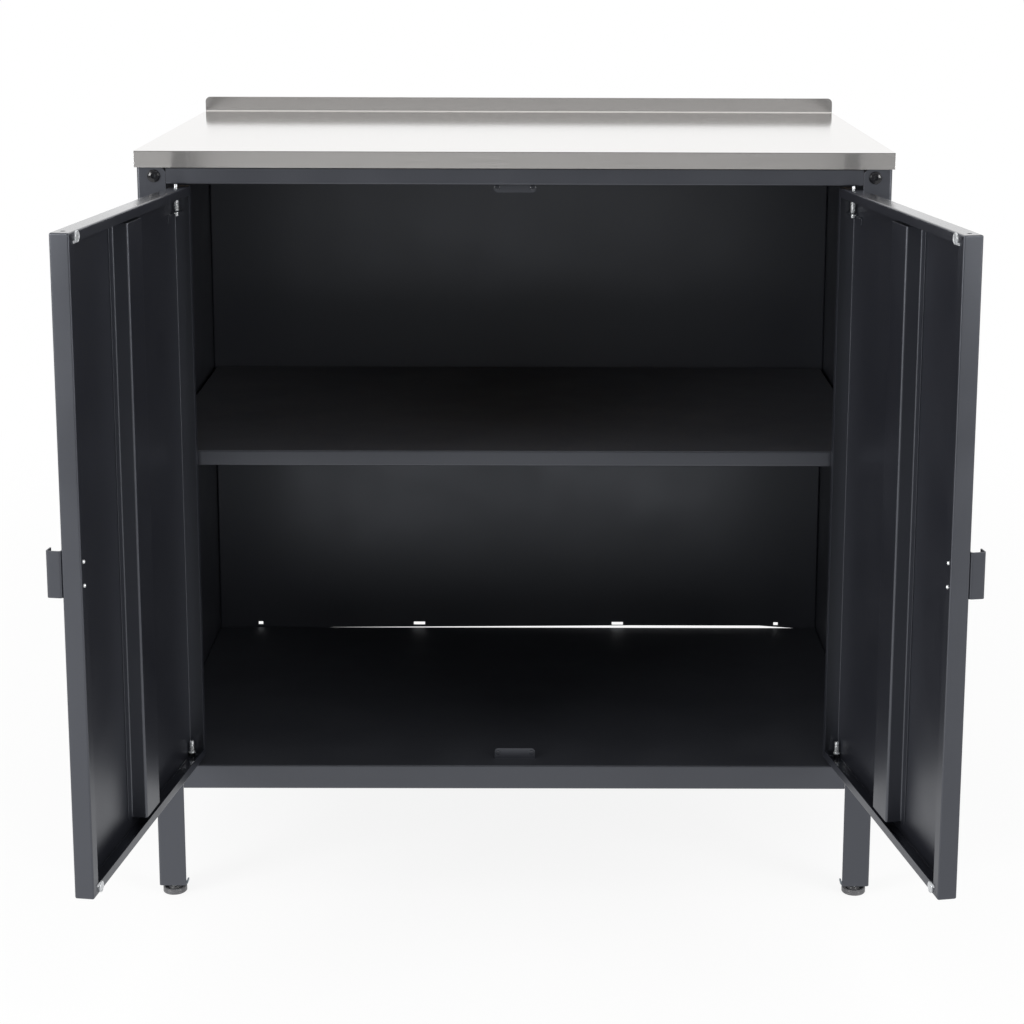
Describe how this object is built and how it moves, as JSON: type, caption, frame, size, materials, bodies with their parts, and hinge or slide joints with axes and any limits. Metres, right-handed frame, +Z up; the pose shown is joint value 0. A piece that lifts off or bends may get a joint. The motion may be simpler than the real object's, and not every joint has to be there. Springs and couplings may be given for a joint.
{
  "type": "kitchen cabinet",
  "caption": "Low steel kitchen cabinet with a stainless worktop and upstand, a loose shelf, levelling feet and hinged sheet doors standing open.",
  "frame": {"origin": "centre of the bounds across X and Y with the doors open as at rest, at floor level", "axes": "+Z up, -Y towards the user at the open front, +X to the user's right"},
  "size_m": [0.8668, 0.8466, 0.856],
  "materials": {
    "coat": "satin anthracite powder coat",
    "stainless": "brushed",
    "zinc": "zinc plated",
    "dark_steel": "black oxide",
    "board": "raw chipboard",
    "pad": "matt",
    "clear": "translucent"
  },
  "bodies": {
    "cabinet": {"back_panel": "coat", "bumper_bottom_left": "clear", "bumper_bottom_right": "clear", "bumper_top_left": "clear", "bumper_top_right": "clear", "floor_panel": "coat", "foot_bracket_front_left": "zinc", "foot_bracket_front_right": "zinc", "foot_bracket_rear_left": "zinc", "foot_bracket_rear_right": "zinc", "post_bolt_left": "dark_steel", "post_bolt_right": "dark_steel", "post_front_left": "coat", "post_front_right": "coat", "post_rear_left": "coat", "post_rear_right": "coat", "shelf": "coat", "shelf_clip_front_left": "zinc", "shelf_clip_front_right": "zinc", "shelf_clip_rear_left": "zinc", "shelf_clip_rear_right": "zinc", "side_panel_left": "coat", "side_panel_right": "coat", "top_rail_front": "coat", "top_rail_rear": "coat", "worktop_core": "board", "worktop_skin": "stainless"},
    "door_left": {"door_pan_left": "coat", "stiffener_left": "coat", "handle_left": "coat", "handle_screw_top_left": "zinc", "handle_screw_bottom_left": "zinc", "pin_bracket_left": "zinc", "bottom_pin_left": "zinc", "pin_bush_left": "dark_steel", "magnet_top_left": "zinc", "magnet_bottom_left": "zinc", "pin_spring_left": "zinc"},
    "pin_left": {"top_pin_left": "zinc"},
    "door_right": {"door_pan_right": "coat", "stiffener_right": "coat", "handle_right": "coat", "handle_screw_top_right": "zinc", "handle_screw_bottom_right": "zinc", "pin_bracket_right": "zinc", "bottom_pin_right": "zinc", "pin_bush_right": "dark_steel", "magnet_top_right": "zinc", "magnet_bottom_right": "zinc", "pin_spring_right": "zinc"},
    "pin_right": {"top_pin_right": "zinc"},
    "foot_front_left": {"foot_pad_front_left": "pad", "foot_stem_front_left": "zinc"},
    "foot_front_right": {"foot_pad_front_right": "pad", "foot_stem_front_right": "zinc"},
    "foot_rear_left": {"foot_pad_rear_left": "pad", "foot_stem_rear_left": "zinc"},
    "foot_rear_right": {"foot_pad_rear_right": "pad", "foot_stem_rear_right": "zinc"}
  },
  "joints": [
    {"name": "door_left_hinge", "type": "hinge", "parent": "cabinet", "child": "door_left", "pos_m": [-0.36344, -0.06867, 0.8], "axis": [0, 0, 1], "range_deg": [-21.9, 98.1]},
    {"name": "pin_left_slide", "type": "slide", "parent": "door_left", "child": "pin_left", "axis": [0, 0, 1], "range_m": [-0.0075, 0], "stiffness_N_per_m": 600, "springref_m": 0.003, "deforming": ["pin_spring_left"]},
    {"name": "door_right_hinge", "type": "hinge", "parent": "cabinet", "child": "door_right", "pos_m": [0.35256, -0.06867, 0.8], "axis": [0, 0, -1], "range_deg": [-20.1, 99.9]},
    {"name": "pin_right_slide", "type": "slide", "parent": "door_right", "child": "pin_right", "axis": [0, 0, 1], "range_m": [-0.0075, 0], "stiffness_N_per_m": 600, "springref_m": 0.003, "deforming": ["pin_spring_right"]},
    {"name": "foot_front_left_turn", "type": "hinge", "parent": "cabinet", "child": "foot_front_left", "pos_m": [-0.38829, -0.05852, 0.0126], "axis": [0, 0, 1], "continuous": true},
    {"name": "foot_front_right_turn", "type": "hinge", "parent": "cabinet", "child": "foot_front_right", "pos_m": [0.37741, -0.05852, 0.0126], "axis": [0, 0, 1], "continuous": true},
    {"name": "foot_rear_left_turn", "type": "hinge", "parent": "cabinet", "child": "foot_rear_left", "pos_m": [-0.38829, 0.40518, 0.0126], "axis": [0, 0, 1], "continuous": true},
    {"name": "foot_rear_right_turn", "type": "hinge", "parent": "cabinet", "child": "foot_rear_right", "pos_m": [0.37741, 0.40518, 0.0126], "axis": [0, 0, 1], "continuous": true}
  ]
}
